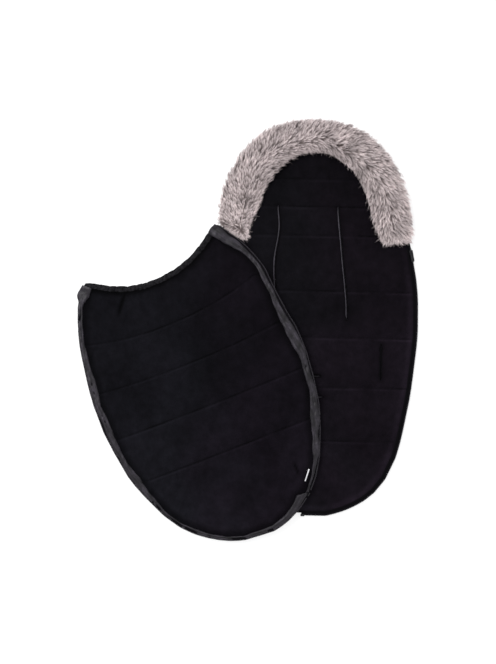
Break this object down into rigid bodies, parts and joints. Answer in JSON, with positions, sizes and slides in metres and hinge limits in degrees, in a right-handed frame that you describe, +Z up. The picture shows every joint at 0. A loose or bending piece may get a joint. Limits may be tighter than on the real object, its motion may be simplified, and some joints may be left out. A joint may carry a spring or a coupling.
{
  "type": "stroller footmuff",
  "caption": "Padded stroller footmuff: quilted liner with a fur hood edge and strap slots, and a zip-off padded cover that folds over to close it.",
  "frame": {"origin": "middle of the liner's flat underside, on the surface that it lies on", "axes": "+Y to the head end of the liner, +X to its right seen from above, +Z up out of the inner side"},
  "size_m": [0.8244, 1.0234, 0.0377],
  "materials": {
    "woven_shell": "black closely woven polyester, dull",
    "wadding": "white polyester fibre wadding",
    "fleece": "near-black short-pile fleece with a faint violet cast",
    "edge_binding": "dark folded binding, dull",
    "zip_tape": "black woven zip tape",
    "zip_coil": "black nylon coil",
    "satin_strip": "charcoal satin, soft sheen, puckered",
    "elastic_webbing": "grey knitted elastic",
    "long_pile_fur": "grey-beige long-pile imitation fur with darker streaks",
    "slider_metal": "black painted zinc, satin",
    "label_cloth": "plain white woven label without print"
  },
  "bodies": {
    "liner": {"liner_shell": "woven_shell", "liner_wadding": "wadding", "liner_fleece": "fleece", "liner_piping": "edge_binding", "fur_backing": "edge_binding", "fur_trim": "long_pile_fur", "harness_slot_binding_left": "edge_binding", "harness_slot_binding_right": "edge_binding", "lap_slot_binding_left": "edge_binding", "lap_slot_binding_right": "edge_binding", "crotch_slot_binding_upper": "edge_binding", "crotch_slot_binding_lower": "edge_binding", "liner_zip_tape_right": "zip_tape", "liner_zip_coil_right": "zip_coil", "liner_zip_tape_left": "zip_tape", "liner_zip_coil_left": "zip_coil", "liner_zip_box": "zip_coil"},
    "right_slider": {"right_zip_slider": "slider_metal"},
    "right_puller": {"right_zip_puller": "slider_metal"},
    "left_slider": {"left_zip_slider": "slider_metal", "left_zip_puller": "slider_metal"},
    "cover": {"cover_shell": "woven_shell", "cover_wadding": "wadding", "cover_fleece": "fleece", "cover_piping": "edge_binding", "guard_strip_right": "satin_strip", "guard_strip_left": "satin_strip", "cover_zip_tape_right": "zip_tape", "cover_zip_tape_left": "zip_tape", "cover_zip_coil_right": "zip_coil", "cover_zip_coil_left": "zip_coil", "elastic_casing": "woven_shell", "elastic_band": "elastic_webbing", "cover_zip_pin": "zip_coil", "care_label": "label_cloth"}
  },
  "joints": [
    {"name": "cover_draw", "type": "slide", "parent": "liner", "child": "left_slider", "axis": [-0.9807, -0.1955, 0], "range_m": [0, 0.2732]},
    {"name": "cover_fold", "type": "hinge", "parent": "left_slider", "child": "cover", "pos_m": [0.02045, -0.19846, 0.027], "axis": [-0.1955, 0.9807, 0], "range_deg": [0, 180]},
    {"name": "right_zip_run", "type": "slide", "parent": "liner", "child": "right_slider", "axis": [0.2099, -0.9777, 0], "range_m": [0, 0.05]},
    {"name": "right_puller_swing", "type": "hinge", "parent": "right_slider", "child": "right_puller", "pos_m": [0.2364, 0.16732, 0.01202], "axis": [-0.9777, -0.2099, 0], "range_deg": [0, 110]}
  ],
  "couplings": [
    {"joint": "cover_draw", "follows": "cover_fold", "m_per_rad": 0.086944}
  ]
}
